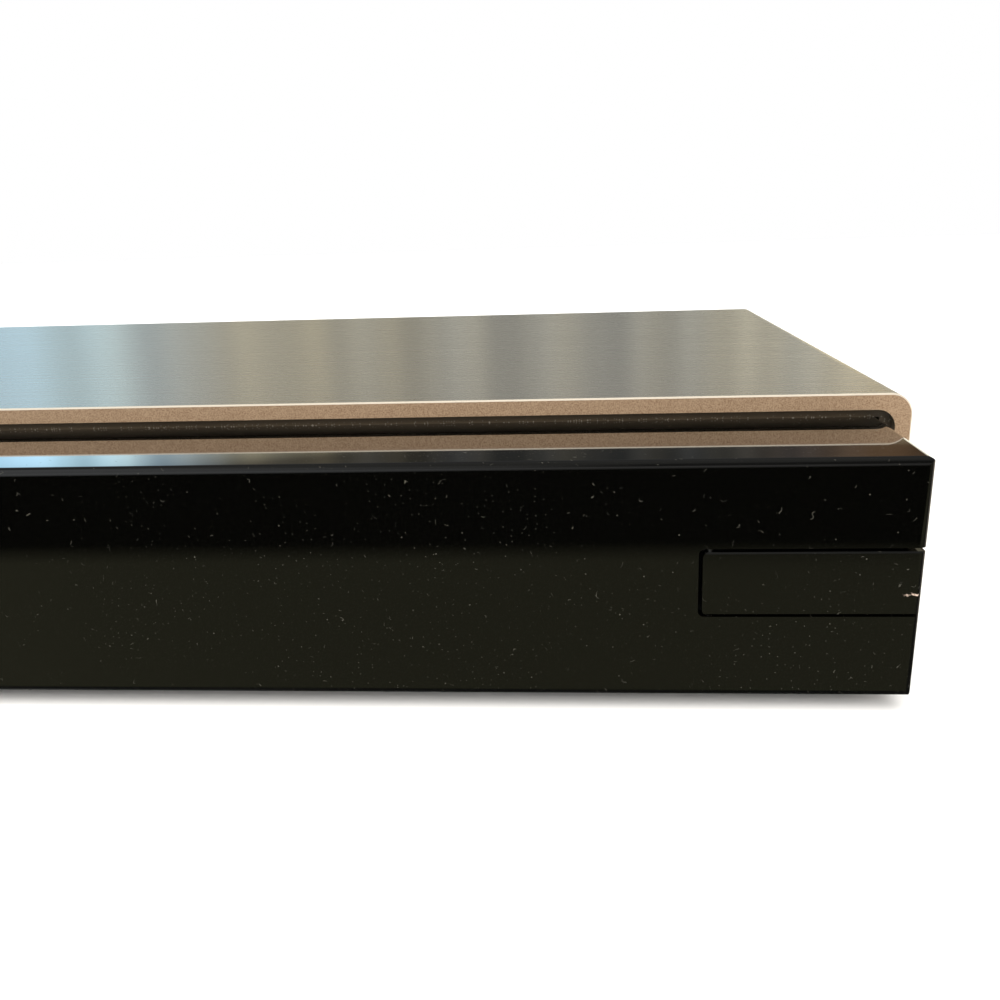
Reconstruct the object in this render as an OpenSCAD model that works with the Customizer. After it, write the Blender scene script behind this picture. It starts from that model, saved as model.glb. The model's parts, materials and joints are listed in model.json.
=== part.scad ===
// Low optical disc player: a gloss black front and chassis under a thick aluminium sleeve.
// Millimetres, +Z up, front towards -Y, origin at the middle of the footprint on the floor.

/* [Case] */
// Width of the black chassis, side to side
core_w = 420; // [400:1:450]
// Height of the black chassis without its feet
core_h = 40; // [38:1:60]
// How far the sleeve starts behind the front face
setback = 27.5; // [24:0.5:40]
// Depth of the aluminium sleeve, front to back
sleeve_d = 200; // [195:1:300]
// Thickness of the sleeve's top and sides
sleeve_t = 2.95; // [2:0.05:4]
// Shadow gap between the chassis top and the sleeve
top_gap = 1.75; // [1:0.05:3]
// Gap between the chassis sides and the sleeve
side_gap = 2.15; // [1.5:0.05:4]
// Outer corner radius of the sleeve
sleeve_outer_r = 4; // [2.5:0.1:5]
// Inner corner radius of the sleeve
sleeve_inner_r = 3.2; // [1:0.1:4]
// Polished bevel along the sleeve's front edge
sleeve_bevel = 0.3; // [0.2:0.05:0.8]
// Height of the feet
foot_h = 3; // [2:0.5:8]
// Diameter of a foot
foot_d = 26; // [18:1:34]
// Thickness of the folded steel sheets
sheet_t = 1; // [0.6:0.1:1.5]

/* [Front] */
// Wall of the front moulding
front_wall = 2.5; // [2:0.1:3]
// Edge radius of the front moulding
front_edge_r = 1.2; // [0.4:0.1:1.6]
// How far the shadow strip lies behind the sleeve's front edge
strip_recess = 2.5; // [1:0.5:5]
// Depth of the shadow strip, front to back
strip_d = 4; // [3:0.5:8]
// Seam between the front moulding and the pieces set in it
seam = 0.35; // [0.25:0.05:0.6]
// How far the tray's front plate stands out past the tray on each side
door_overhang = 3; // [2:0.5:6]
// Middle of the power button, measured from the left side of the chassis
power_inset = 20; // [18:0.5:24]
// Height of the tray front and of the flap
door_h = 10.8; // [10.8:0.1:13]
// Lower edge of the tray front and of the flap above the chassis bottom
door_z = 14.7; // [14.7:0.1:16]
// Width of the display window
display_w = 54; // [40:1:56]
// Height of the display window
display_h = 13; // [8:0.5:14]
// Space between the tray front and the display window
display_gap = 5; // [3:0.5:8]
// Width of a button
button_w = 11; // [8:0.5:12]
// Height of a button
button_h = 4.4; // [3.5:0.1:6]
// Space between the power button and the tray front
power_gap = 11.5; // [10:0.5:14]
// Space between the display window and the eject button
eject_gap = 8.5; // [6:0.5:12]
// Button travel
button_travel = 0.8; // [0.4:0.1:1]

/* [Flap] */
// Length of the flap on the front face
flap_w = 33.95; // [30:0.05:40]
// Depth of the flap's return round the corner
flap_return = 8; // [6:0.5:10]
// Thickness of the flap
flap_t = 2; // [1.8:0.1:2.4]
// Open gap at the flap's hinged end
flap_gap = 0.65; // [0.6:0.05:1.2]
// Open gap over the flap
flap_top_gap = 0.6; // [0.3:0.05:0.8]
// Open gap under the flap
flap_bottom_gap = 0.25; // [0.2:0.05:0.5]
// Chamfer along the flap's upper and lower front edges
flap_chamfer = 0.25; // [0.1:0.05:0.4]
// Corner radius of the flap's opening
flap_hole_r = 1; // [0.5:0.1:1.5]
// Radius of the flap's hinge pin
flap_pin_r = 0.5; // [0.4:0.05:0.6]
// Depth of the pocket behind the flap
pocket_d = 10; // [10:0.5:12]

/* [Loader] */
// Diameter of a disc
disc_d = 120; // [120:1:121]
// Thickness of a disc
disc_t = 1.2; // [1.2:0.1:1.3]
// Width of the tray
tray_w = 132; // [130:0.5:134]
// Length of the tray
tray_d = 158; // [156:1:160]
// Travel of the tray
tray_travel = 130; // [100:1:132]
// Thickness of the tray
tray_t = 5.5; // [5:0.1:6]
// Spindle axis behind the front face
spindle_y = 68; // [67:0.5:70]
// Running clearance between the loader's moving pieces
run_gap = 0.3; // [0.2:0.05:0.4]
// Tooth size of the tray rack and its gear
rack_module = 1; // [0.8:0.05:1.1]
// Teeth on the drive gear's upper ring
drive_teeth = 28; // [24:1:30]
// Teeth on the drive gear's lower ring
reduction_teeth = 40; // [36:1:42]
// Teeth on the pulley's pinion
pinion_teeth = 12; // [12:1:14]
// Tooth size of the reduction gears
gear_module = 0.8; // [0.7:0.05:0.8]
// Radius of the gear posts
post_r = 1.5; // [1.2:0.1:1.8]
// Travel of the pickup along its rods
sled_travel = 34; // [20:1:36]
// Stroke of the lift slider
lift_stroke = 24; // [18:1:26]
// Fall of the lift pin over that stroke
lift_drop = 5; // [4:0.1:5.4]

/* [Boards] */
// Thickness of the circuit boards
board_t = 1.6; // [1.2:0.1:2]
// Height of the board posts over the chassis floor
board_post_h = 6; // [5:0.5:8]

/* [Hidden] */
$fn = 48;
eps = 1;
fit = 0.05;

// Case planes
overall_d = setback + sleeve_d;
front_y = -overall_d / 2;
rear_y = overall_d / 2;
core_x = core_w / 2;
core_z = foot_h;
core_top = core_z + core_h;
floor_z = core_z + sheet_t;
sleeve_in_x = core_x + side_gap;
sleeve_out_x = sleeve_in_x + sleeve_t;
sleeve_in_z = core_top + top_gap;
sleeve_out_z = sleeve_in_z + sleeve_t;
sleeve_y = front_y + setback;
front_d = setback + strip_recess + strip_d;
chassis_y = front_y + front_d;
rear_recess = 5;
rear_face_y = rear_y - rear_recess;
sill_d = 12;
flange_inset = 0.4;
sleeve_screw_r = 1;
sleeve_screw_ys = [chassis_y + 12, (chassis_y + rear_face_y) / 2, rear_face_y - 14];
foot_xs = [-core_x + 42, core_x - 42];
foot_ys = [front_y + 48, rear_y - 34];
foot_peg_r = 2.4;

// Places along the front
door_w = tray_w + 2 * door_overhang;
power_x = -core_x + power_inset;
tray_x = power_x + button_w / 2 + power_gap + door_w / 2;
display_x = tray_x + door_w / 2 + display_gap + display_w / 2;
eject_x = display_x + display_w / 2 + eject_gap + button_w / 2;

// Band of the tray front and the flap
band_z0 = core_z + door_z;
band_z1 = band_z0 + door_h;
band_mid = (band_z0 + band_z1) / 2;
door_t = 3;
flap_x0 = core_x - flap_w;
flap_z0 = band_z0 - seam + flap_bottom_gap;
flap_h = door_h + 2 * seam - flap_bottom_gap - flap_top_gap;
flap_barrel_r = 1.2;
flap_pivot_x = flap_x0 + flap_barrel_r;
flap_pivot_y = front_y + flap_barrel_r + 0.1;
pocket_wall = 1.5;
end_lap = 5;
end_lap_t = 1.5;
end_lap_edge = 1;
end_x = flap_x0 - flap_gap - pocket_wall - end_lap_edge;
pin_grip = 1.2;
boss_d = 8.4;
display_z = band_mid;
standby_x = power_x + 11;

// Loader planes
spindle_ay = front_y + spindle_y;
tray_y = front_y + door_t;
tray_z = band_z0 + 3.2;
tray_top = tray_z + tray_t;
tray_lip = 3;
tray_lip_t = 2;
rib_z = band_z0 + 0.4;
slot_w = 40;
well_depth = disc_t + 1.4;
rail_w = 5;
rail_x = tray_w / 2 + run_gap;
rail_d = tray_d + 14;
beam_z = 9;
beam_t = 2;
beam_d = 31;
frame_y = front_y + boss_d + board_t + 1;

// Gears
root_share = 1.45;
tip_share = 0.42;
drive_r = rack_module * drive_teeth / 2;
rack_x = tray_x + tray_w / 2 - 20;
drive_x = rack_x - drive_r;
gear_y = front_y + 24;
reduction_r = gear_module * reduction_teeth / 2;
pinion_r = gear_module * pinion_teeth / 2;
pulley_x = drive_x - reduction_r - pinion_r - 0.1;
pulley_r = 10;
motor_x = pulley_x - 30;
motor_pulley_r = 3;
belt_t = 1.2;
belt_z = beam_z + beam_t + 4.2;
belt_h = 1.6;

// Traverse
pivot_ay = front_y + 152;
pivot_z = 14.5;
traverse_w = 62;
traverse_t = 2;
traverse_front = front_y + 48;
traverse_z = 13.6;
rod_r = 1.5;
rod_x = 21.5;
rod_z = traverse_z + traverse_t + rod_r + 0.9;
screw_x = 28.5;
disc_seat_z = tray_top - 0.2;
lift_pin_r = 1.2;
lift_y = traverse_front - 2;
bridge_z = tray_top + 6;
bridge_t = 1.2;
clamp_hole_r = 15;
clamp_flange_r = clamp_hole_r + 2.5;

// Boards
board_z = floor_z + board_post_h;
board_top = board_z + board_t;
board_gap = 14;
power_bw = 74;
power_bx = [core_x - 10 - power_bw, core_x - 10];
main_x = [tray_x + rail_x + rail_w + 10.7, power_bx[0] - board_gap];
main_w = main_x[1] - main_x[0];
main_y = [front_y + 78, rear_face_y - sheet_t - 0.5];
power_by = [front_y + 84, rear_face_y - sheet_t - 0.5];
post_inset = 6;
screw_r = 1.2;

// A block between two corners
module box(lo, hi) {
    translate(lo) cube(hi - lo);
}

// A post or disc standing on a point
module post(at, r, h) {
    translate(at) cylinder(r = r, h = h);
}

// A rectangle with round corners, drawn about its middle
module round_rect(w, h, r) {
    square([w - 2 * r, h], center = true);
    square([w, h - 2 * r], center = true);
    for (sx = [-1, 1], sy = [-1, 1])
        translate([sx * (w / 2 - r), sy * (h / 2 - r)]) circle(r);
}

// A pill-shaped or rounded block that stands in the front wall and reaches back along +Y
module front_plug(x, z, w, h, r, y0, y1) {
    translate([x, y1, z]) rotate([90, 0, 0]) linear_extrude(y1 - y0) round_rect(w, h, r);
}

// Corner rounding cutter: what lies outside a quarter circle at the origin's +X +Y corner
module corner_cut(r) {
    difference() {
        translate([-r, -r]) square(r + eps);
        translate([-r, -r]) circle(r);
    }
}

// Spur gear outline with straight flanks and some play
module gear_outline(teeth, size) {
    root_r = size * (teeth / 2 - 1.2);
    tip_r = size * (teeth / 2 + 0.8);
    half_root = 90 / teeth * root_share;
    half_tip = 90 / teeth * tip_share;
    polygon([for (k = [0 : teeth - 1], edge = [[root_r, -half_root], [tip_r, -half_tip],
        [tip_r, half_tip], [root_r, half_root]])
        let (a = 360 * k / teeth + edge[1]) [edge[0] * cos(a), edge[0] * sin(a)]]);
}

// A pan-head screw pointing down from a seat
module screw(at, shank_r, head_r, head_h, length) {
    translate(at) {
        cylinder(r = head_r, h = head_h);
        translate([0, 0, -length]) cylinder(r = shank_r, h = length);
    }
}

// Aluminium sleeve: an upside-down U with a bevelled front edge
module sleeve_body() {
    r = sleeve_outer_r;
    b = sleeve_bevel;
    top_edge = [[sleeve_y, sleeve_out_z - r], [sleeve_y, sleeve_out_z - b], [sleeve_y + b, sleeve_out_z],
        [rear_y, sleeve_out_z], [rear_y, sleeve_out_z - r]];
    translate([-sleeve_out_x + r, 0, 0])
        rotate([90, 0, 90]) linear_extrude(2 * (sleeve_out_x - r)) polygon(top_edge);
    side_edge = [[-sleeve_out_x + b, sleeve_y], [sleeve_out_x - b, sleeve_y], [sleeve_out_x, sleeve_y + b],
        [sleeve_out_x, rear_y], [-sleeve_out_x, rear_y], [-sleeve_out_x, sleeve_y + b]];
    translate([0, 0, floor_z]) linear_extrude(sleeve_out_z - r - floor_z) polygon(side_edge);
    for (s = [-1, 1])
        translate([s * (sleeve_out_x - r), sleeve_y, sleeve_out_z - r]) rotate([-90, 0, 0]) {
            cylinder(r1 = r - b, r2 = r, h = b);
            translate([0, 0, b]) cylinder(r = r, h = sleeve_d - b);
        }
}

// What the sleeve leaves free inside: straight walls with round upper corners
module sleeve_hollow(y0, y1) {
    r = sleeve_inner_r;
    box([-sleeve_in_x, y0, floor_z - eps], [sleeve_in_x, y1, sleeve_in_z - r]);
    box([-sleeve_in_x + r, y0, sleeve_in_z - r - eps], [sleeve_in_x - r, y1, sleeve_in_z]);
    for (s = [-1, 1])
        translate([s * (sleeve_in_x - r), y0, sleeve_in_z - r]) rotate([-90, 0, 0])
            cylinder(r = r, h = y1 - y0);
}

module top_sleeve() {
    color("#b39a80") difference() {
        sleeve_body();
        sleeve_hollow(sleeve_y - eps, rear_y + eps);
        for (s = [-1, 1], y = sleeve_screw_ys)
            post([s * (sleeve_in_x + sleeve_t / 2), y, floor_z - eps], sleeve_screw_r + fit, 9 + eps);
    }
}

module shadow_strip() {
    color("#2d271c") difference() {
        intersection() {
            sleeve_hollow(sleeve_y + strip_recess, chassis_y);
            box([-sleeve_in_x, front_y, floor_z], [sleeve_in_x, rear_y, sleeve_in_z]);
        }
        box([-core_x, front_y, 0], [core_x, rear_y, core_top]);
    }
}

module base_pan() {
    edge_x = sleeve_out_x - flange_inset;
    sill_x = core_x - front_wall;
    wall_y1 = rear_face_y - sheet_t;
    vent_x = (main_x[0] + main_x[1]) / 2 - 46;
    color("#3b3c3e") difference() {
        union() {
            box([-edge_x, chassis_y, core_z], [edge_x, rear_face_y, floor_z]);
            box([-sill_x, front_y + sill_d, core_z], [sill_x, chassis_y, floor_z]);
            for (s = [-1, 1])
                translate([s * (core_x - sheet_t / 2), 0, 0])
                    box([-sheet_t / 2, chassis_y, core_z], [sheet_t / 2, wall_y1, core_top]);
            for (at = board_posts()) post([at[0], at[1], floor_z], 3, board_post_h);
            for (at = loader_posts()) post([at[0], at[1], floor_z], 3.5, beam_z - floor_z);
            for (at = socket_posts()) post([at[0], at[1], floor_z], 2.5, socket_board_z - floor_z);
        }
        for (at = concat(board_posts(), loader_posts(), socket_posts()))
            post([at[0], at[1], core_z - eps], screw_r + fit, 40);
        for (s = [-1, 1], y = sleeve_screw_ys)
            post([s * (sleeve_in_x + sleeve_t / 2), y, core_z - eps], sleeve_screw_r + fit,
                sheet_t + 2 * eps);
        for (x = foot_xs, y = foot_ys) post([x, y, core_z - eps], foot_peg_r + fit, sheet_t + 2 * eps);
        for (k = [0 : 9], row = [0, 1])
            translate([0, spindle_ay + 62 + 30 * row, 0])
                box([vent_x + 10 * k, 0, core_z - eps], [vent_x + 3 + 10 * k, 22, floor_z + eps]);
    }
}

module rear_panel() {
    z1 = sleeve_in_z - 0.2;
    y0 = rear_face_y - sheet_t;
    x0 = -core_x + 30;
    color("#242526") difference() {
        union() {
            box([-core_x, y0, floor_z], [core_x, rear_face_y, core_top]);
            box([-core_x + sleeve_inner_r, y0, floor_z], [core_x - sleeve_inner_r, rear_face_y, z1]);
        }
        socket_cutouts(y0 - eps, rear_face_y + eps);
        for (k = [0 : 17], row = [0, 1])
            box([x0 + 6 * k, y0 - eps, 20 + 10 * row], [x0 + 3 + 6 * k, rear_face_y + eps, 27 + 10 * row]);
    }
}

module feet() {
    color("#1b1b1b") for (x = foot_xs, y = foot_ys) translate([x, y, 0]) difference() {
        union() {
            translate([0, 0, 0.5]) cylinder(r1 = foot_d / 2 - 1, r2 = foot_d / 2, h = 0.8);
            translate([0, 0, 1.3]) cylinder(r = foot_d / 2, h = foot_h - 1.3);
            translate([0, 0, foot_h]) cylinder(r = foot_peg_r, h = sheet_t + 1.5);
        }
        translate([0, 0, -eps]) cylinder(r = foot_d / 2 - 3, h = 1.5 + eps);
    }
}

module foot_pads() {
    color("#333333") for (x = foot_xs, y = foot_ys)
        post([x, y, 0], foot_d / 2 - 3.2, 1.5);
}

module sleeve_screws() {
    color("#8a8a8a") for (s = [-1, 1], y = sleeve_screw_ys)
        translate([s * (sleeve_in_x + sleeve_t / 2), y, core_z]) rotate([180, 0, 0])
            screw([0, 0, 0], sleeve_screw_r, sleeve_t / 2 - 0.1, 1.1, 8);
}

// Front moulding: a block with small round edges, hollow behind
module front_block() {
    r = front_edge_r;
    mid_z = (core_z + core_top) / 2;
    intersection() {
        translate([0, chassis_y, mid_z]) rotate([90, 0, 0])
            linear_extrude(front_d) round_rect(core_w, core_h, r);
        translate([0, chassis_y, core_z - eps])
            linear_extrude(core_h + 2 * eps) difference() {
                translate([-core_x - eps, -front_d]) square([core_w + 2 * eps, front_d]);
                for (s = [0, 1]) mirror([s, 0]) translate([core_x, -front_d]) mirror([0, 1]) corner_cut(r);
            }
        translate([-core_x - eps, chassis_y, mid_z]) rotate([90, 0, 90])
            linear_extrude(core_w + 2 * eps) difference() {
                translate([-front_d, -core_h]) square([front_d, 2 * core_h]);
                for (s = [0, 1]) mirror([0, s])
                    translate([-front_d, core_h / 2]) mirror([1, 0]) corner_cut(r);
            }
    }
}

// The space behind the flap, open to the front and at the right for the flap's return
module pocket_space() {
    z0 = band_z0 - seam;
    z1 = band_z1 + seam;
    x0 = flap_x0 - flap_gap;
    x1 = core_x - front_wall;
    front_plug((x0 + x1) / 2, band_mid, x1 - x0, z1 - z0, flap_hole_r, front_y - eps, front_y + pocket_d);
    box([x0 + 2 * flap_hole_r, front_y - eps, z0], [core_x + eps, front_y + flap_return + seam, z1]);
}

module front_moulding() {
    y_in = front_y + front_wall;
    difference() {
        front_block();
        difference() {
            union() {
                box([-core_x + front_wall, y_in, core_z + 2],
                    [core_x - front_wall, chassis_y + eps, core_top - front_wall]);
                box([-core_x + front_wall, front_y + sill_d, core_z - eps],
                    [core_x - front_wall, chassis_y + eps, core_z + 2 + eps]);
            }
            front_bosses();
        }
        pocket_space();
        post([flap_pivot_x, flap_pivot_y, band_z0 - seam - pin_grip], flap_pin_r + 0.02,
            door_h + 2 * seam + 2 * pin_grip);
        box([tray_x - door_w / 2 - seam, front_y - eps, band_z0 - seam],
            [tray_x + door_w / 2 + seam, y_in + eps, band_z1 + seam]);
        front_plug(display_x, display_z, display_w + 0.1, display_h + 0.1, 1, front_y - eps, y_in + eps);
        for (x = [power_x, eject_x])
            front_plug(x, band_mid, button_w + 2 * seam, button_h + 2 * seam, button_h / 2 + seam - 0.01,
                front_y - eps, y_in + eps);
        front_plug(standby_x, band_mid, 2.1, 2.1, 1, front_y - eps, y_in + eps);
        for (at = boss_points())
            translate([at[0], front_y + boss_d + eps, at[1]]) rotate([90, 0, 0]) cylinder(r = 0.9, h = 4);
    }
}

// The front is two mouldings butted flush left of the flap: the long panel, and an end piece for the flap
module front_panel() {
    color("#0d0d0b") difference() {
        front_moulding();
        box([end_x, front_y - eps, 0], [core_x + eps, chassis_y + eps, core_top + eps]);
    }
}

module front_end() {
    y_in = front_y + front_wall;
    z0 = core_z + front_wall + 1;
    z1 = core_top - front_wall - 1;
    color("#0d0d0b") {
        difference() {
            front_moulding();
            box([-core_x - eps, front_y - eps, 0], [end_x, chassis_y + eps, core_top + eps]);
        }
        box([end_x, y_in - 0.5, z0], [end_x + end_lap_edge, y_in + end_lap_t, z1]);
        box([end_x - end_lap, y_in, z0], [end_x + end_lap_edge, y_in + end_lap_t, z1]);
    }
}

// Moulded box behind the flap's opening, with the hole for the data socket in its back
module flap_pocket() {
    y1 = front_y + pocket_d + pocket_wall;
    color("#161614") difference() {
        box([flap_x0 - flap_gap - pocket_wall, front_y + front_wall, band_z0 - seam - pocket_wall],
            [core_x - front_wall, y1, band_z1 + seam + pocket_wall]);
        pocket_space();
        front_plug(socket_x, band_mid, socket_w + 0.6, socket_h + 0.6, 0.5, front_y, y1 + eps);
    }
}

// Screw bosses behind the front wall, for the display board and the power switch board
function boss_points() = concat(
    [for (x = [display_x - display_w / 2 - 5.2, eject_x + button_w / 2 + 4.5]) [x, band_mid + 9]],
    [[power_x - 9.6, band_mid + 6], [power_x + 9.6, band_mid - 6]]);

module front_bosses() {
    for (at = boss_points())
        translate([at[0], front_y + boss_d, at[1]]) rotate([90, 0, 0]) cylinder(r = 2, h = boss_d);
}

module display_window() {
    color("#15120e") difference() {
        union() {
            front_plug(display_x, display_z, display_w, display_h, 1, front_y, front_y + front_wall);
            front_plug(display_x, display_z, display_w + 3, display_h + 3, 1.5,
                front_y + front_wall, front_y + front_wall + 1);
        }
        front_plug(display_x, display_z, display_w - 6, display_h - 4, 0.6,
            front_y + 1.5, front_y + front_wall + 1 + eps);
    }
}

module display_module() {
    y0 = front_y + front_wall + 1;
    color("#2f4743") box([display_x - 25, y0, display_z - 6],
        [display_x + 25, front_y + boss_d, display_z + 6]);
}

module display_board() {
    x0 = display_x - display_w / 2 - 7.2;
    x1 = eject_x + button_w / 2 + 6.6;
    y0 = front_y + boss_d;
    color("#1f5a36") difference() {
        box([x0, y0, band_mid - 9], [x1, y0 + board_t, band_mid + 12]);
        for (at = boss_points()) translate([at[0], y0 + board_t + eps, at[1]]) rotate([90, 0, 0])
            cylinder(r = 1.1, h = board_t + 2 * eps);
    }
}

module power_switch_board() {
    y0 = front_y + boss_d;
    color("#1f5a36") difference() {
        box([power_x - 12, y0, band_mid - 9], [power_x + 13, y0 + board_t, band_mid + 9]);
        for (at = boss_points()) translate([at[0], y0 + board_t + eps, at[1]]) rotate([90, 0, 0])
            cylinder(r = 1.1, h = board_t + 2 * eps);
    }
}

module standby_light() {
    color("#5c1410") {
        front_plug(standby_x, band_mid, 2, 2, 0.98, front_y, front_y + front_wall);
        front_plug(standby_x, band_mid, 3.4, 3.4, 1.68, front_y + front_wall, front_y + boss_d);
    }
}

// A button cap with its flange behind the wall and a stem to its switch
module button(x) {
    flange_y = front_y + front_wall + 0.15;
    front_plug(x, band_mid, button_w, button_h, button_h / 2 - 0.01, front_y, flange_y);
    front_plug(x, band_mid, button_w + 2.4, button_h + 2, 1, flange_y, flange_y + 1.2);
    front_plug(x, band_mid, 3, 3, 1.48, flange_y + 1.2, front_y + boss_d - switch_d - button_travel - 0.15);
}

switch_d = 2.2;

module power_button() {
    color("#151514") button(power_x);
}

module eject_button() {
    color("#151514") button(eject_x);
}

module button_switches() {
    y1 = front_y + boss_d;
    color("#c9c9c4") for (x = [power_x, eject_x]) {
        box([x - 3, y1 - switch_d + 0.7, band_mid - 3], [x + 3, y1, band_mid + 3]);
        translate([x, y1 - switch_d + 0.7, band_mid]) rotate([90, 0, 0]) cylinder(r = 1.5, h = 0.7 - 0.05);
    }
}

// Flap: a plate that turns the corner, hinged at its left end
module flap() {
    r = front_edge_r;
    side = flap_chamfer * sqrt(2);
    color("#171713") difference() {
        union() {
            translate([0, 0, flap_z0]) linear_extrude(flap_h) difference() {
                union() {
                    translate([flap_x0, front_y]) square([flap_w, flap_t]);
                    translate([core_x - flap_t, front_y]) square([flap_t, flap_return]);
                }
                translate([core_x, front_y]) mirror([0, 1]) corner_cut(r);
            }
            post([flap_pivot_x, flap_pivot_y, flap_z0], flap_barrel_r, flap_h);
        }
        post([flap_pivot_x, flap_pivot_y, flap_z0 - eps], flap_pin_r + fit, flap_h + 2 * eps);
        for (s = [0, 1]) translate([flap_x0, front_y + flap_t, flap_z0 + flap_h / 2]) mirror([0, 0, s])
            translate([0, 0, flap_h / 2]) rotate([90, 0, 0]) linear_extrude(flap_t + eps)
                mirror([1, 0]) corner_cut(0.9);
        for (z = [flap_z0, flap_z0 + flap_h]) {
            translate([core_x - flap_w / 2, front_y, z]) rotate([45, 0, 0])
                cube([flap_w + 2 * eps, side, side], center = true);
            translate([core_x, front_y + flap_return / 2, z]) rotate([0, 45, 0])
                cube([side, flap_return + 2 * eps, side], center = true);
        }
    }
}

module flap_pin() {
    color("#9a9a98") post([flap_pivot_x, flap_pivot_y, band_z0 - seam - pin_grip], flap_pin_r,
        door_h + 2 * seam + 2 * pin_grip);
}

// Front data socket behind the flap: a folded shell, its tongue and four contacts
socket_x = core_x - flap_w / 2;
socket_w = 13.1;
socket_h = 5.7;
socket_d = 14;
socket_y = front_y + pocket_d - 0.6;
socket_board_z = band_mid - socket_h / 2 - board_t;
function socket_posts() = [for (s = [-1, 1]) [socket_x + s * 9, front_y + 32]];

module front_socket() {
    t = 0.4;
    w = socket_w;
    h = socket_h;
    color("#b9bcbe") difference() {
        box([socket_x - w / 2, socket_y, band_mid - h / 2],
            [socket_x + w / 2, socket_y + socket_d, band_mid + h / 2]);
        box([socket_x - w / 2 + t, socket_y - eps, band_mid - h / 2 + t],
            [socket_x + w / 2 - t, socket_y + socket_d - 3, band_mid + h / 2 - t]);
    }
    color("#20407a") box([socket_x - 5.3, socket_y + 0.6, band_mid],
        [socket_x + 5.3, socket_y + socket_d - 3 + 0.1, band_mid + 1.8]);
}

module front_socket_board() {
    y0 = front_y + pocket_d + pocket_wall;
    color("#1f5a36") difference() {
        box([socket_x - 13, y0, socket_board_z], [socket_x + 13, front_y + 38, socket_board_z + board_t]);
        for (at = socket_posts()) post([at[0], at[1], 0], 1.6, 40);
    }
}

// Loader
function loader_posts() = [
    for (s = [-1, 1]) [tray_x + s * loader_post_x, frame_y + 28],
    for (s = [-1, 1]) [tray_x + s * loader_post_x, frame_y + rail_d - 5]
];
ear_t = 4;
loader_post_x = tray_w / 2 - 8;
rail_top = tray_z + tray_lip_t + run_gap + 2;
motor_r = 10;
slider_t = 2;
slider_z = 6.5;
guide_t = 1.3;

// One side rail of the loader, on the +X side of the tray's middle
module loader_rail() {
    in_x = tray_w / 2 - tray_lip + run_gap;
    y1 = frame_y + rail_d;
    box([rail_x, frame_y, beam_z], [rail_x + rail_w, y1, rail_top]);
    box([tray_w / 2 - 4, frame_y, tray_z - 2.2], [rail_x + eps, y1, tray_z - 0.2]);
    box([in_x, frame_y, tray_z + tray_lip_t + run_gap], [rail_x + eps, y1, rail_top]);
    box([rail_x, spindle_ay - 11, rail_top - eps], [rail_x + rail_w, spindle_ay + 11, bridge_z]);
    box([traverse_w / 2 + 2, pivot_ay - 4, beam_z], [traverse_w / 2 + 2 + ear_t, y1, pivot_z + 3.5]);
}

module loader_frame() {
    y1 = frame_y + rail_d;
    color("#3a3a3c") difference() {
        union() {
            translate([tray_x, 0, 0]) for (s = [0, 1]) mirror([s, 0, 0]) loader_rail();
            box([tray_x - rail_x - eps, frame_y, beam_z],
                [tray_x + rail_x + eps, frame_y + beam_d, beam_z + beam_t]);
            box([tray_x - rail_x - eps, y1 - 10, beam_z], [tray_x + rail_x + eps, y1, beam_z + 6]);
            for (x = [drive_x, pulley_x]) post([x, gear_y, beam_z], post_r, tray_z - 0.6 - beam_z);
            for (x = [-20, 14]) translate([tray_x + x, 0, 0]) {
                box([0, frame_y + beam_d - eps, slider_z - 0.2 - guide_t],
                    [6, frame_y + beam_d + 1.5, beam_z + beam_t]);
                box([0, frame_y + beam_d, slider_z - 0.2 - guide_t],
                    [6, lift_y + slider_t / 2 + 0.2, slider_z - 0.2]);
            }
        }
        for (at = loader_posts()) post([at[0], at[1], 0], 1.6, 60);
        post([motor_x, gear_y, beam_z - eps], motor_r + 0.15, beam_t + 2 * eps);
        translate([tray_x - rail_x, pivot_ay, pivot_z]) rotate([0, 90, 0])
            cylinder(r = post_r + fit, h = 2 * rail_x);
    }
}

module loader_screws() {
    color("#8a8a8a") for (at = loader_posts()) {
        seat = at[1] < spindle_ay ? beam_z + beam_t : beam_z + 6;
        screw([at[0], at[1], seat], screw_r, 2.8, 1.8, seat - floor_z);
    }
}

module clamp_bridge() {
    w = rail_x + rail_w;
    color("#9fa2a4") difference() {
        union() {
            box([tray_x - w, spindle_ay - 11, bridge_z], [tray_x + w, spindle_ay + 11, bridge_z + bridge_t]);
            post([tray_x, spindle_ay, bridge_z], clamp_hole_r + 6, bridge_t);
            for (s = [-1, 1]) translate([tray_x, spindle_ay + s * 10.4, bridge_z])
                box([-w, -0.6, 0], [w, 0.6, 3]);
        }
        post([tray_x, spindle_ay, bridge_z - eps], clamp_hole_r, 6);
        post([tray_x, spindle_ay, bridge_z + bridge_t], clamp_flange_r + 1, 6);
    }
}

module clamper() {
    seat = bridge_z + bridge_t + 0.15;
    color("#c8c8c2") translate([tray_x, spindle_ay, 0]) difference() {
        union() {
            post([0, 0, tray_top + 0.6], clamp_hole_r - 1, seat - tray_top - 0.5);
            post([0, 0, seat], clamp_flange_r, 1.5);
            post([0, 0, seat + 1], 9, 2.2);
        }
        post([0, 0, tray_top], 8.5, 3.4);
    }
}

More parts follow.
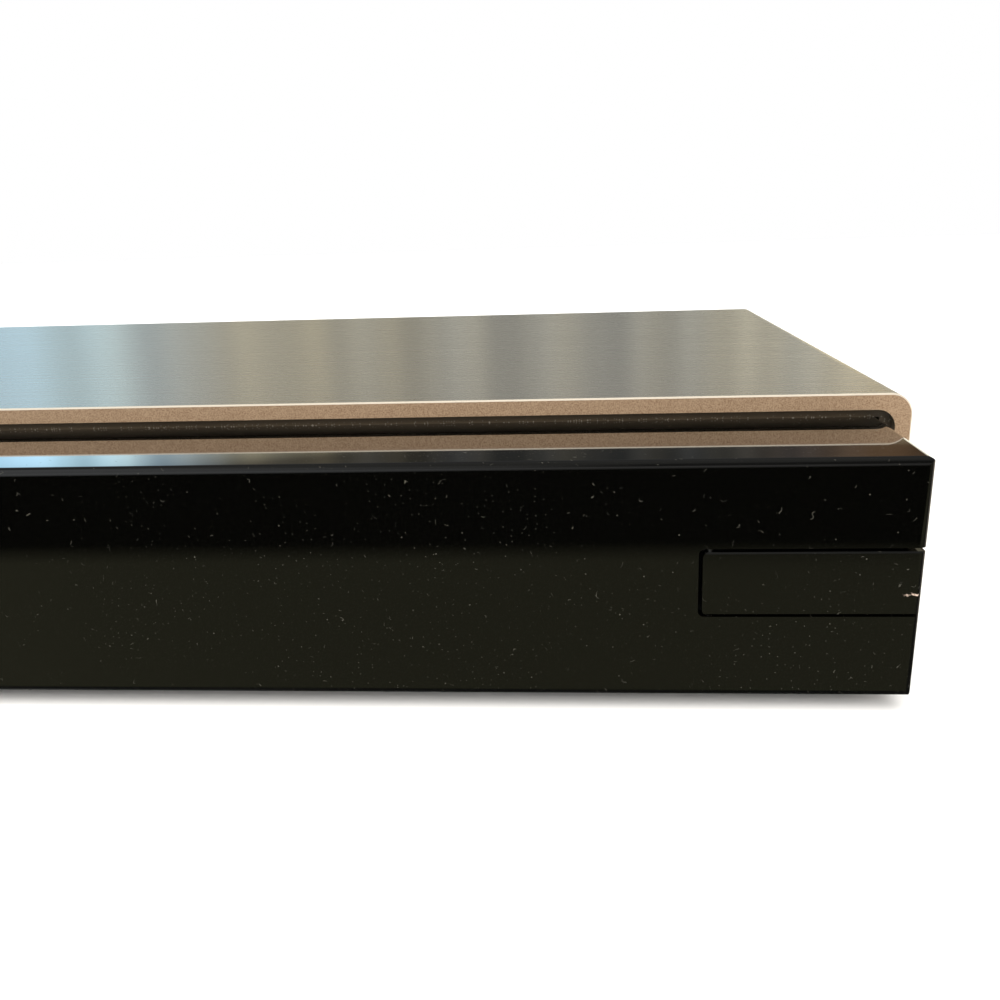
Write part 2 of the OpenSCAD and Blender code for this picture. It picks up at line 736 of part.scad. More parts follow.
// Tray: stepped disc wells, a centre slot that is open behind, side lips and a rack below
module tray() {
    half = tray_w / 2;
    y1 = tray_y + tray_d;
    pitch = PI * rack_module;
    first = ceil((tray_y + 10 - gear_y) / pitch);
    last = floor((tray_travel + 3) / pitch) - 1;
    half_root = pitch / 4 * root_share;
    half_tip = pitch / 4 * tip_share;
    color("#1d1d1e") {
        difference() {
            union() {
                box([tray_x - half, tray_y, tray_z], [tray_x + half, y1, tray_z + tray_lip_t]);
                box([tray_x - half + tray_lip, tray_y, tray_z], [tray_x + half - tray_lip, y1, tray_top]);
            }
            post([tray_x, spindle_ay, tray_top - well_depth], disc_d / 2 + 0.8, well_depth + eps);
            post([tray_x, spindle_ay, tray_top - well_depth - 1.2], 40.6, 4);
            post([tray_x, spindle_ay, tray_z - eps], slot_w / 2, tray_t + 2 * eps);
            box([tray_x - slot_w / 2, spindle_ay, tray_z - eps],
                [tray_x + slot_w / 2, y1 + eps, tray_top + eps]);
            for (s = [-1, 1]) post([tray_x + s * disc_d / 2, spindle_ay, tray_top - well_depth], 11, 9);
        }
        translate([0, 0, rib_z]) linear_extrude(tray_z - rib_z) polygon(concat(
            [[rack_x + 4, gear_y + last * pitch + pitch], [rack_x + 4, gear_y + first * pitch]],
            [for (k = [first : last], p = [[1.2, 0.5 * pitch - half_root], [-0.8, 0.5 * pitch - half_tip],
                [-0.8, 0.5 * pitch + half_tip], [1.2, 0.5 * pitch + half_root]])
                [rack_x + p[0] * rack_module, gear_y + k * pitch + p[1]]]));
    }
}

module tray_front() {
    color("#10100e") difference() {
        box([tray_x - door_w / 2, front_y, band_z0], [tray_x + door_w / 2, front_y + door_t, band_z1]);
        for (s = [-1, 1]) translate([tray_x + s * (tray_w / 2 - 20), front_y + door_t + eps, band_mid + 2])
            rotate([90, 0, 0]) cylinder(r = 0.8, h = 2);
    }
}

module drive_gear() {
    color("#d8d4c4") translate([drive_x, gear_y, beam_z + beam_t]) difference() {
        union() {
            translate([0, 0, 0.4]) linear_extrude(2.2) gear_outline(reduction_teeth, gear_module);
            cylinder(r = 5, h = 9.4);
            translate([0, 0, 7.3]) linear_extrude(2.2) gear_outline(drive_teeth, rack_module);
        }
        translate([0, 0, -eps]) cylinder(r = post_r + fit, h = 12);
    }
}

module pulley_gear() {
    color("#d8d4c4") translate([pulley_x, gear_y, beam_z + beam_t]) difference() {
        union() {
            cylinder(r = 3, h = 3.4);
            translate([0, 0, 0.3]) linear_extrude(2.6) rotate(180 / pinion_teeth)
                gear_outline(pinion_teeth, gear_module);
            translate([0, 0, 3.2]) cylinder(r = pulley_r + 1.4, h = 0.8);
            translate([0, 0, 3.9]) cylinder(r = pulley_r, h = 2.2);
            translate([0, 0, 6]) cylinder(r = pulley_r + 1.4, h = 0.8);
        }
        translate([0, 0, -eps]) cylinder(r = post_r + fit, h = 12);
    }
}

module motor_pulley() {
    color("#c8b27a") translate([motor_x, gear_y, beam_z + beam_t]) difference() {
        union() {
            translate([0, 0, 3.2]) cylinder(r = motor_pulley_r + 1.2, h = 0.8);
            translate([0, 0, 3.9]) cylinder(r = motor_pulley_r, h = 2.2);
            translate([0, 0, 6]) cylinder(r = motor_pulley_r + 1.2, h = 0.8);
        }
        translate([0, 0, -eps]) cylinder(r = 1 + fit, h = 12);
    }
}

module loading_motor() {
    color("#a9abad") translate([motor_x, gear_y, floor_z]) {
        cylinder(r = motor_r, h = 9);
        cylinder(r = 3, h = 9.6);
        cylinder(r = 1, h = beam_z + beam_t + 7 - floor_z);
    }
}

// Outline round two pulleys a distance apart along +X
module belt_loop(r1, r2, dist) {
    hull() {
        circle(r1, $fn = 64);
        translate([dist, 0]) circle(r2, $fn = 64);
    }
}

module drive_belt() {
    dist = pulley_x - motor_x;
    inner = 0.15;
    color("#181818") translate([motor_x, gear_y, belt_z]) linear_extrude(belt_h) difference() {
        belt_loop(motor_pulley_r + inner + belt_t, pulley_r + inner + belt_t, dist);
        belt_loop(motor_pulley_r + inner, pulley_r + inner, dist);
    }
}

// Lift slider: a plate whose slanted slot raises the traverse by its pin
module lift_slider() {
    slope = atan2(lift_drop, lift_stroke);
    run = norm([lift_stroke, lift_drop]);
    slot_r = lift_pin_r + 0.35;
    pin_z = traverse_z + traverse_t / 2;
    color("#e2ded0") translate([tray_x, lift_y + slider_t / 2, 0]) rotate([90, 0, 0])
        linear_extrude(slider_t) difference() {
            translate([-38, slider_z]) square([54, pin_z + 3.4 - slider_z]);
            translate([0, pin_z]) rotate(180 + slope) translate([-slot_r, -slot_r])
                square([run + 2 * slot_r, 2 * slot_r]);
        }
}

// Traverse: the lifting frame with spindle, rods and pickup
bar_ys = [front_y + 79, front_y + 109.5 + sled_travel];
bar_t = 3;
sled_y = front_y + 84;
sled_motor_r = 2.6;
sled_motor_d = 12;
lead_r = 1.2;
spindle_motor_h = 4.5;

module traverse_frame() {
    half = traverse_w / 2;
    z1 = traverse_z + traverse_t;
    color("#4c4f52") translate([tray_x, 0, 0]) difference() {
        union() {
            box([-half, traverse_front, traverse_z], [half, pivot_ay + 5, z1]);
            for (y = bar_ys) box([-half, y, traverse_z], [half, y + bar_t, rod_z + rod_r + 0.5]);
            for (s = [-1, 1]) translate([s * (half + 1.9), pivot_ay, pivot_z]) rotate([0, 90, 0])
                translate([0, 0, -3.9]) cylinder(r = post_r, h = 7.8);
            translate([0, traverse_front + eps, traverse_z + traverse_t / 2]) rotate([90, 0, 0])
                cylinder(r = lift_pin_r, h = eps + 3.2);
        }
        box([-18.5, sled_y - 1, traverse_z - eps], [18.5, bar_ys[1] - 1, z1 + eps]);
        box([screw_x - sled_motor_r - 0.5, bar_ys[1] - sled_motor_d - 0.5, traverse_z - eps],
            [half + eps, bar_ys[1], z1 + eps]);
        post([0, spindle_ay, traverse_z - eps], 6, traverse_t + 2 * eps);
        for (s = [-1, 1]) translate([s * rod_x, bar_ys[0] - eps, rod_z]) rotate([-90, 0, 0])
            cylinder(r = rod_r + 0.02, h = 80);
        translate([screw_x, bar_ys[0] - eps, rod_z]) rotate([-90, 0, 0]) cylinder(r = lead_r + fit, h = 20);
    }
}

module spindle_motor() {
    color("#8f9294") translate([tray_x, spindle_ay, traverse_z]) {
        translate([0, 0, -spindle_motor_h]) cylinder(r = 11, h = spindle_motor_h);
        cylinder(r = 5.5, h = traverse_t);
        cylinder(r = 1.5, h = 7);
    }
}

module turntable() {
    z0 = traverse_z + traverse_t + 0.4;
    color("#262628") translate([tray_x, spindle_ay, 0]) difference() {
        union() {
            post([0, 0, z0], 5, tray_z + 1.5 - z0);
            post([0, 0, tray_z + 1.2], 14.5, disc_seat_z - tray_z - 1.2);
            translate([0, 0, disc_seat_z - 0.1]) cylinder(r1 = 7.4, r2 = 6, h = 1.6);
        }
        post([0, 0, z0 - eps], 1.5 + fit, traverse_z + 7.3 - z0 + eps);
    }
}

module guide_rods() {
    color("#c4c6c8") for (s = [-1, 1])
        translate([tray_x + s * rod_x, bar_ys[0], rod_z]) rotate([-90, 0, 0])
            cylinder(r = rod_r, h = bar_ys[1] + bar_t - bar_ys[0]);
}

// Lead screw with a helix-like row of grooves
module lead_screw() {
    y1 = bar_ys[1] - sled_motor_d;
    color("#b8a878") translate([tray_x + screw_x, bar_ys[0], rod_z]) rotate([-90, 0, 0]) difference() {
        cylinder(r = lead_r, h = y1 - bar_ys[0] - 0.2);
        for (k = [0 : 10]) translate([0, 0, 5 + 3.6 * k]) difference() {
            cylinder(r = lead_r + eps, h = 1);
            translate([0, 0, -eps]) cylinder(r = lead_r - 0.3, h = 1 + 2 * eps);
        }
    }
}

module sled_motor() {
    color("#a3a6a8") translate([tray_x + screw_x, bar_ys[1] - sled_motor_d, rod_z]) rotate([-90, 0, 0])
        cylinder(r = sled_motor_r, h = sled_motor_d);
}

module pickup_sled() {
    low = rod_z - rod_r - 0.6;
    color("#5b5e60") translate([tray_x, sled_y, 0]) difference() {
        union() {
            box([-17.5, 0, 10.5], [17.5, 22, low + eps]);
            box([-rod_x - 3, 0, low], [rod_x + 3, 22, rod_z + 2]);
            box([-14, 1, rod_z], [14, 19, tray_z + 1.6]);
            box([rod_x, 0, low], [screw_x + 2.4, 7, rod_z + 2]);
        }
        for (s = [-1, 1]) translate([s * rod_x, -eps, rod_z]) rotate([-90, 0, 0])
            cylinder(r = rod_r + 0.08, h = 30);
        translate([screw_x, -eps, rod_z]) rotate([-90, 0, 0]) cylinder(r = lead_r + 0.1, h = 12);
    }
}

module pickup_lens() {
    color("#7fa8c9") translate([tray_x, sled_y + 6, tray_z + 1.6]) {
        cylinder(r = 4.5, h = 1);
        cylinder(r = 2.5, h = 1.8);
    }
}

// Boards and what stands on them
function board_corners(bx, by) = [for (x = bx, y = by)
    [x + (x == bx[0] ? post_inset : -post_inset), y + (y == by[0] ? post_inset : -post_inset - 22)]];
function board_posts() = concat(board_corners(main_x, main_y), board_corners(power_bx, power_by));

// A bare board with its screw holes
module board(bx, by) {
    difference() {
        box([bx[0], by[0], board_z], [bx[1], by[1], board_top]);
        for (at = board_posts()) post([at[0], at[1], board_z - eps], 1.6, board_t + 2 * eps);
    }
}

module main_board() {
    color("#1e5b38") board(main_x, main_y);
}

module power_board() {
    color("#7a5f34") board(power_bx, power_by);
}

module board_screws() {
    color("#8a8a8a") {
        for (at = board_posts()) screw([at[0], at[1], board_top], screw_r, 2.8, 1.8, board_t + 5);
        for (at = socket_posts())
            screw([at[0], at[1], socket_board_z + board_t], screw_r, 2.4, 1.5, board_t + 5);
    }
}

chip_at = [main_x[0] + main_w / 2 - 1, front_y + 118];
chip_w = 27;
chip_h = 2.2;

module main_chips() {
    color("#1a1a1b") {
        box([chip_at[0] - chip_w / 2, chip_at[1] - chip_w / 2, board_top],
            [chip_at[0] + chip_w / 2, chip_at[1] + chip_w / 2, board_top + chip_h]);
        for (k = [0 : 3])
            translate([chip_at[0] + 21, chip_at[1] - 26 + 15 * k, board_top]) cube([11, 9, 1.2]);
        translate([chip_at[0] - 36, chip_at[1] + 6, board_top]) cube([14, 14, 1.5]);
        translate([chip_at[0] - 40, chip_at[1] - 22, board_top]) cube([18, 8, 1.2]);
    }
}

module main_heat_sink() {
    w = 40;
    z0 = board_top + chip_h;
    color("#2a2b2c") translate([chip_at[0] - w / 2, chip_at[1] - w / 2, z0]) {
        cube([w, w, 2.2]);
        for (k = [0 : 9]) translate([k * (w - 1.2) / 9, 0, 2]) cube([1.2, w, 12]);
    }
}

module transformer() {
    color("#c9a23c") translate([power_bx[0] + 32, front_y + 128, board_top]) {
        translate([-13, -11, 0]) cube([26, 22, 4]);
        translate([-10, -9, 3.5]) cube([20, 18, 13]);
        difference() {
            translate([-13, -5, 3.5]) cube([26, 10, 16]);
            translate([-9, -6, 7]) cube([18, 12, 9]);
        }
    }
}

module capacitors() {
    color("#20304e") {
        post([power_bx[0] + 14, front_y + 152, board_top], 8, 24);
        for (k = [0 : 2]) post([power_bx[1] - 20, front_y + 104 + 13 * k, board_top], 5, 16);
        for (k = [0 : 3]) post([main_x[1] - 7, front_y + 96 + 12 * k, board_top], 3.2, 9);
    }
}

module power_heat_sink() {
    color("#9a9da0") translate([power_bx[0] + 8, front_y + 96, board_top]) {
        cube([2.5, 30, 22]);
        for (k = [0 : 5]) translate([2, 1 + 5.3 * k, 3]) cube([8, 1.5, 19]);
    }
}

// Rear sockets: middle, width and height of each
socket_step = main_w / 5;
video_at = [main_x[0] + socket_step, 14, 4.6];
lan_at = [main_x[0] + 2 * socket_step, 15.6, 13];
audio_xs = [for (s = [-7, 7]) main_x[0] + 3.15 * socket_step + s];
audio_z = board_top + 8;
audio_r = 4.1;
optical_at = [main_x[0] + 4.3 * socket_step, 9.6, 9.8];
inlet_at = [(power_bx[0] + power_bx[1]) / 2, 21, 13];
socket_back = 14;
socket_proud = 1.5;

// Block of a rear socket, standing on its board
module socket_block(at, grow, y0, y1) {
    box([at[0] - at[1] / 2 - grow, y0, board_top - grow],
        [at[0] + at[1] / 2 + grow, y1, board_top + at[2] + grow]);
}

module socket_cutouts(y0, y1) {
    for (at = [video_at, lan_at, optical_at, inlet_at]) socket_block(at, 0.3, y0, y1);
    for (x = audio_xs)
        translate([x, y0, audio_z]) rotate([-90, 0, 0]) cylinder(r = audio_r + 0.3, h = y1 - y0);
}

module video_socket() {
    y0 = rear_face_y - socket_back;
    y1 = rear_face_y + socket_proud;
    mid = board_top + video_at[2] / 2;
    color("#aeb1b3") difference() {
        socket_block(video_at, 0, y0, y1);
        box([video_at[0] - 6.6, y1 - 10, board_top + 0.4],
            [video_at[0] + 6.6, y1 + eps, board_top + video_at[2] - 0.4]);
    }
    color("#161616") box([video_at[0] - 5.8, y1 - 10.1, mid - 0.6], [video_at[0] + 5.8, y1 - 1, mid + 0.6]);
}

module lan_socket() {
    y0 = rear_face_y - socket_back;
    y1 = rear_face_y + socket_proud;
    color("#b2b5b7") difference() {
        socket_block(lan_at, 0, y0, y1);
        box([lan_at[0] - 5.9, y1 - 12, board_top + 3.4], [lan_at[0] + 5.9, y1 + eps, board_top + 11.6]);
        box([lan_at[0] - 3, y1 - 12, board_top + 1.4], [lan_at[0] + 3, y1 + eps, board_top + 4]);
    }
}

module audio_sockets() {
    y0 = rear_face_y - sheet_t;
    color("#1c1c1d") box([audio_xs[0] - 6.5, y0 - 11, board_top], [audio_xs[1] + 6.5, y0, audio_z + 6]);
    color("#c9b45a") for (x = audio_xs) translate([x, y0, audio_z]) rotate([-90, 0, 0]) difference() {
        cylinder(r = audio_r, h = sheet_t + 4.5);
        translate([0, 0, eps]) cylinder(r = 1.6, h = 8);
    }
}

module optical_socket() {
    y0 = rear_face_y - socket_back;
    y1 = rear_face_y + socket_proud;
    color("#19191a") difference() {
        socket_block(optical_at, 0, y0, y1);
        box([optical_at[0] - 2.7, y1 - 1.4, board_top + 2.4],
            [optical_at[0] + 2.7, y1 + eps, board_top + 7.8]);
    }
}

module mains_inlet() {
    y0 = rear_face_y - 18;
    y1 = rear_face_y + socket_proud;
    mid = board_top + inlet_at[2] / 2;
    color("#171717") difference() {
        socket_block(inlet_at, 0, y0, y1);
        for (s = [-1, 1]) translate([inlet_at[0] + s * 4.2, y1 - 12, mid]) rotate([-90, 0, 0])
            cylinder(r = 4.1, h = 12 + eps);
        box([inlet_at[0] - 4.2, y1 - 12, mid - 2.6], [inlet_at[0] + 4.2, y1 + eps, mid + 2.6]);
    }
    color("#c8c9ca") for (s = [-1, 1]) translate([inlet_at[0] + s * 4.2, y1 - 12.2, mid]) rotate([-90, 0, 0])
        cylinder(r = 1.2, h = 10.2);
}

// Flat cable from the display board to the main board
module ribbon_cable() {
    t = 0.3;
    y0 = front_y + boss_d + board_t;
    path = [[y0, band_mid - 6], [y0 + 7, band_mid - 6], [main_y[0] - 4, board_top],
        [main_y[0] + 8, board_top]];
    color("#d9d9d4") translate([main_x[0] + 30, 0, 0]) rotate([90, 0, 90]) linear_extrude(18) polygon(concat(
        path, [for (k = [3 : -1 : 0]) path[k] + [0, t]]));
}

top_sleeve();
shadow_strip();
base_pan();
rear_panel();
feet();
foot_pads();
sleeve_screws();
front_panel();
front_end();
flap_pocket();
display_window();
display_module();
display_board();
power_switch_board();
standby_light();
power_button();
eject_button();
button_switches();
flap();
flap_pin();
front_socket();
front_socket_board();
loader_frame();
loader_screws();
clamp_bridge();
clamper();
tray();
tray_front();
drive_gear();
pulley_gear();
motor_pulley();
loading_motor();
drive_belt();
lift_slider();
traverse_frame();
spindle_motor();
turntable();
guide_rods();
lead_screw();
sled_motor();
pickup_sled();
pickup_lens();
main_board();
main_heat_sink();
main_chips();
power_board();
transformer();
capacitors();
power_heat_sink();
board_screws();
video_socket();
lan_socket();
audio_sockets();
optical_socket();
mains_inlet();
ribbon_cable();
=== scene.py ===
"""Looks of the disc player: finishes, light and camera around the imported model."""

import json
import math

import bmesh
import bpy
from mathutils import Matrix, Vector


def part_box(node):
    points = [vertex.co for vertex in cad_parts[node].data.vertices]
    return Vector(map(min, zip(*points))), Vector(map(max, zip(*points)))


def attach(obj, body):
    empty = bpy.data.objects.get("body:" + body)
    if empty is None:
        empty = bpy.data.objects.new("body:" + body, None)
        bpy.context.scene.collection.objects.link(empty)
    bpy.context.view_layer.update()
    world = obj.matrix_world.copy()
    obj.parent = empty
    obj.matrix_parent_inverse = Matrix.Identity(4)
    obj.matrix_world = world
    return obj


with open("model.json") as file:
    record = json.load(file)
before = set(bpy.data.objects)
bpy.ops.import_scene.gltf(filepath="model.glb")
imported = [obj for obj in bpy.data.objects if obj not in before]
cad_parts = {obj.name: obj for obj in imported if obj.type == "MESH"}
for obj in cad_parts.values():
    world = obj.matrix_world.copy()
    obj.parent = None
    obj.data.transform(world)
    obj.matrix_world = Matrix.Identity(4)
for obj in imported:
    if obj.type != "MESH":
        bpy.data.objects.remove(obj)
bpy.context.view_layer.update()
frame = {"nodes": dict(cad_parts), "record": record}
nodes = frame["nodes"]
MM = 0.001

# The range that most of a noise falls in
NOISE_LOW, NOISE_HIGH = 0.3, 0.7
# How far a finish's roughness wanders from its mean
SMOOTHER, ROUGHER = 0.85, 1.15


# Node helpers
class Graph:
    """A node tree, and short ways to add nodes to it."""

    def __init__(self, tree, coords):
        self.tree = tree
        self.coords = self.tree.nodes.new("ShaderNodeTexCoord").outputs[coords]

    def node(self, kind, inputs=None, **settings):
        """A new node; an input is a value or another node's output."""
        made = self.tree.nodes.new(kind)
        for key, value in settings.items():
            setattr(made, key, value)
        for key, value in (inputs or {}).items():
            if isinstance(value, bpy.types.NodeSocket):
                self.tree.links.new(value, made.inputs[key])
            else:
                made.inputs[key].default_value = value
        return made

    def ramp(self, value, stops):
        """A colour that changes along value, from 0 to 1: stops are (place, colour)."""
        made = self.node("ShaderNodeValToRGB", {"Fac": value})
        made.color_ramp.interpolation = "EASE"
        for k, (place, color) in enumerate(stops):
            stop = made.color_ramp.elements[k] if k < 2 else made.color_ramp.elements.new(place)
            stop.position = place
            stop.color = (*color, 1.0)
        return made.outputs["Color"]

    def stretched(self, scale):
        """The coordinates, scaled along each axis."""
        return self.node("ShaderNodeMapping", {"Vector": self.coords, "Scale": scale}).outputs["Vector"]

    def noise(self, scale, detail=3.0, stretch=None, rough=0.55):
        vector = self.stretched(stretch) if stretch else self.coords
        return self.node("ShaderNodeTexNoise", {"Vector": vector, "Scale": scale, "Detail": detail,
                                                "Roughness": rough}).outputs["Fac"]

    def map(self, value, low, high, to_low=0.0, to_high=1.0):
        return self.node("ShaderNodeMapRange", {"Value": value, "From Min": low, "From Max": high,
                                                "To Min": to_low, "To Max": to_high}).outputs["Result"]

    def math(self, operation, a, b=0.0):
        return self.node("ShaderNodeMath", {0: a, 1: b}, operation=operation).outputs[0]

    def wander(self, value, scale):
        """Soft random change along value, from 0 to 1."""
        inputs = {"W": value, "Scale": scale, "Detail": 1.0}
        wave = self.node("ShaderNodeTexNoise", inputs, noise_dimensions="1D")
        return self.map(wave.outputs["Fac"], NOISE_LOW, NOISE_HIGH)

    def times(self, a, b):
        return self.node("ShaderNodeVectorMath", {0: a, 1: b}, operation="MULTIPLY").outputs["Vector"]

    def blend(self, factor, a, b):
        """From a to b; each is a colour or another node's output."""
        first_slot, second_slot, result_slot = 6, 7, 2
        made = self.node("ShaderNodeMix", {0: factor}, data_type="RGBA")
        for slot, value in ((first_slot, a), (second_slot, b)):
            if isinstance(value, bpy.types.NodeSocket):
                self.tree.links.new(value, made.inputs[slot])
            else:
                made.inputs[slot].default_value = (*value, 1.0)
        return made.outputs[result_slot]

    def position(self, axis):
        return self.node("ShaderNodeSeparateXYZ", {"Vector": self.coords}).outputs[axis]


class Paint(Graph):
    """A material with a Principled shader."""

    def __init__(self, name, color, rough, metallic=0.0, **sockets):
        self.mat = bpy.data.materials.new(name)
        self.mat.use_nodes = True
        super().__init__(self.mat.node_tree, "Object")
        self.shader = self.tree.nodes["Principled BSDF"]
        self.set("Base Color", (*color, 1.0))
        self.set("Roughness", rough)
        self.set("Metallic", metallic)
        for socket, value in sockets.items():
            self.set(socket.replace("_", " "), value)
        self.height = None

    def set(self, socket, value):
        self.shader.inputs[socket].default_value = value

    def feed(self, socket, output):
        self.tree.links.new(output, self.shader.inputs[socket])

    def painted(self):
        """What feeds the base colour so far."""
        return self.shader.inputs["Base Color"].links[0].from_socket

    def facing(self, axis):
        """How far the face looks along an axis, from -1 to 1."""
        normal = self.node("ShaderNodeNewGeometry").outputs["True Normal"]
        return self.node("ShaderNodeSeparateXYZ", {"Vector": normal}).outputs[axis]

    def bump(self, height, depth, strength):
        """Relief on top of what is there already."""
        inputs = {"Height": height, "Distance": depth, "Strength": strength}
        if self.height:
            inputs["Normal"] = self.height
        self.height = self.node("ShaderNodeBump", inputs).outputs["Normal"]
        self.feed("Normal", self.height)

    def flat(self):
        """Coordinates along the front, top and side faces alike, for marks that lie on the surface."""
        lean = 0.6
        place = self.node("ShaderNodeSeparateXYZ", {"Vector": self.coords}).outputs
        along = self.math("ADD", place["X"], place["Y"])
        up = self.math("ADD", place["Z"], self.math("MULTIPLY", place["Y"], lean))
        return self.node("ShaderNodeCombineXYZ", {"X": along, "Y": up}).outputs["Vector"]

    def specks(self, cell, size, share):
        """1 inside small round specks, 0 elsewhere: one speck in some of the cells."""
        cells = self.node("ShaderNodeTexVoronoi", {"Vector": self.flat(), "Scale": 1 / cell},
                          voronoi_dimensions="2D").outputs
        reach = size / cell
        dot = self.map(cells["Distance"], reach, 0.5 * reach)
        draw = self.node("ShaderNodeSeparateColor", {"Color": cells["Color"]}).outputs[0]
        return self.math("MULTIPLY", dot, self.math("LESS_THAN", draw, share))

    def hairs(self, cell, width, share):
        """1 along thin curved threads, broken up by a coarse noise."""
        bends, breaks, fade = 1.4 / cell, 2.2 / cell, 0.04
        drift = self.node("ShaderNodeTexNoise", {"Vector": self.coords, "Scale": bends, "Detail": 1.0})
        inputs = {0: drift.outputs["Color"], 1: (cell, cell, cell), 2: self.flat()}
        bent = self.node("ShaderNodeVectorMath", inputs, operation="MULTIPLY_ADD").outputs[0]
        edge = self.node("ShaderNodeTexVoronoi", {"Vector": bent, "Scale": 1 / cell},
                         voronoi_dimensions="2D", feature="DISTANCE_TO_EDGE").outputs["Distance"]
        reach = width / cell
        line = self.map(edge, reach, 0.4 * reach)
        kept = self.map(self.noise(breaks, 0.0), 1.0 - share, 1.0 - share + fade)
        return self.math("MULTIPLY", line, kept)


def moulded(name, color, rough, grain=0.04 * MM, spread=0.25):
    """Moulded plastic or paint: a fine grain, with colour and roughness that vary a little."""
    paint = Paint(name, color, rough)
    tone = paint.noise(60.0, 4.0)
    dark = tuple(c * (1 - spread) for c in color)
    light = tuple(c * (1 + spread) + 0.002 for c in color)
    paint.feed("Base Color", paint.blend(tone, dark, light))
    wear = paint.noise(25.0)
    paint.feed("Roughness", paint.map(wear, NOISE_LOW, NOISE_HIGH, rough * SMOOTHER, rough * ROUGHER))
    paint.bump(paint.noise(2500.0, 2.0), grain, 0.6)
    return paint


def metal(name, color, rough):
    """Plain or plated metal with a fine, even grain."""
    dark = tuple(c * 0.86 for c in color)
    paint = Paint(name, color, rough, 1.0)
    grain = paint.noise(40.0, 5.0, (30.0, 30.0, 30.0))
    paint.feed("Base Color", paint.blend(grain, dark, color))
    paint.feed("Roughness", paint.map(grain, 0.25, 0.75, rough * SMOOTHER, rough * ROUGHER))
    paint.bump(grain, 0.006 * MM, 0.3)
    return paint


def gloss_black(name, rough, tint=(0.0009, 0.0009, 0.0007)):
    """Piano black: dark, mirror-like, with fine dust, a little fluff and hairline scratches."""
    dust_color = (0.2, 0.19, 0.15)
    scratch_rough, dust_rough = 0.06, 0.5
    paint = Paint(name, tint, rough, Specular_IOR_Level=0.4, Coat_Weight=1.0, Coat_Roughness=rough)
    patch = paint.map(paint.noise(30.0, 3.0), 0.42, 0.62)
    fine = paint.math("MULTIPLY", paint.specks(cell=1.3 * MM, size=0.09 * MM, share=0.4), patch)
    dust = paint.math("MAXIMUM", fine, paint.specks(cell=4.8 * MM, size=0.13 * MM, share=0.3))
    fluff = paint.math("MAXIMUM", dust, paint.hairs(cell=2.2 * MM, width=0.05 * MM, share=0.27))
    thin, thick = 0.06, 0.45
    cover = paint.math("MULTIPLY", fluff, paint.map(paint.noise(330.0), 0.38, 0.66, thin, thick))
    paint.feed("Base Color", paint.blend(cover, tint, dust_color))
    scratches = paint.noise(9.0, 6.0, (3.0, 60.0, 140.0))
    worn = paint.map(scratches, 0.55, 0.8, rough, rough + scratch_rough)
    paint.feed("Roughness", paint.math("ADD", worn, paint.math("MULTIPLY", fluff, dust_rough)))
    return paint


def flap_black():
    """The flap's satin black, with the pale scuff at its free end."""
    scuff_color = (0.55, 0.42, 0.34)
    scuff_z, ripple = 21.1 * MM, 0.25 * MM
    half_height, half_core = 0.26 * MM, 0.12 * MM
    scuff_start, scuff_full = 206.8 * MM, 207.8 * MM
    paint = gloss_black("flap_black", 0.08)
    wave = paint.map(paint.noise(900.0, 2.0), NOISE_LOW, NOISE_HIGH, -ripple, ripple)
    height = paint.math("ADD", paint.position("Z"), wave)
    off = paint.math("ABSOLUTE", paint.math("SUBTRACT", height, scuff_z))
    across = paint.map(off, half_height, half_core)
    along = paint.map(paint.position("X"), scuff_start, scuff_full)
    mark = paint.math("MULTIPLY", across, along)
    patchy = paint.map(paint.noise(1500.0, 2.0), 0.4, 0.55)
    on_front = paint.map(paint.facing("Y"), -0.85, -0.95)
    worn = paint.math("MULTIPLY", mark, paint.math("MULTIPLY", patchy, on_front))
    paint.feed("Base Color", paint.blend(worn, paint.painted(), scuff_color))
    return paint


